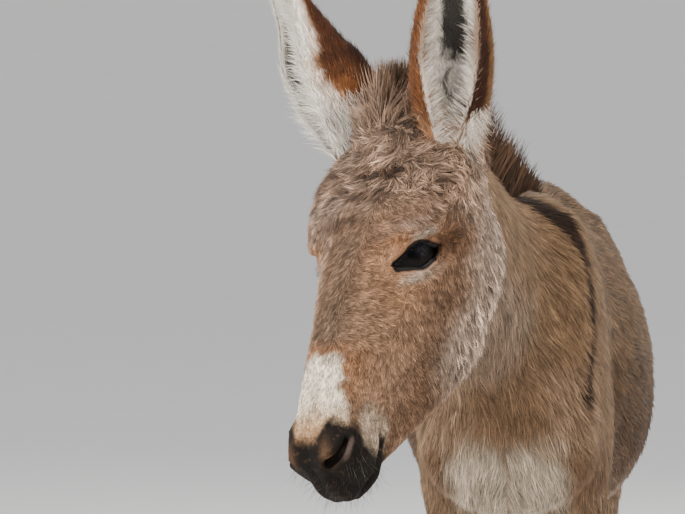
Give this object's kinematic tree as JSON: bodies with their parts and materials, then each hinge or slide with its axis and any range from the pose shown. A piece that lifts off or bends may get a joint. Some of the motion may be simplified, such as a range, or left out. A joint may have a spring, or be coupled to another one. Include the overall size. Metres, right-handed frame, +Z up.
{
  "type": "donkey",
  "caption": "Life-size museum-type model of a young woolly donkey standing square, its head lowered and turned to its right with both long ears up.",
  "frame": {"origin": "on the floor, under the centre of the bounding box", "axes": "+Z up; the donkey stands along Y facing -Y, its left side towards +X"},
  "size_m": [0.4244, 1.5406, 1.278],
  "materials": {
    "coat": "short woolly taupe-grey coat, cream below, near-black at the muzzle",
    "ear": "short brown fur behind, long white hair inside, dark tips",
    "mane": "upright dark brown woolly mane and tail tuft",
    "hoof": "dull dark horn with faint growth rings",
    "eye": "wet blackish brown"
  },
  "bodies": {
    "root": {"head": "coat", "eye_left": "eye", "eye_right": "eye", "ear_left": "ear", "ear_right": "ear", "neck": "coat", "mane": "mane", "trunk": "coat", "foreleg_left": "coat", "forehoof_left": "hoof", "foreleg_right": "coat", "forehoof_right": "hoof", "hindleg_left": "coat", "hindhoof_left": "hoof", "hindleg_right": "coat", "hindhoof_right": "hoof", "tail": "coat", "tail_switch": "mane"}
  },
  "joints": []
}
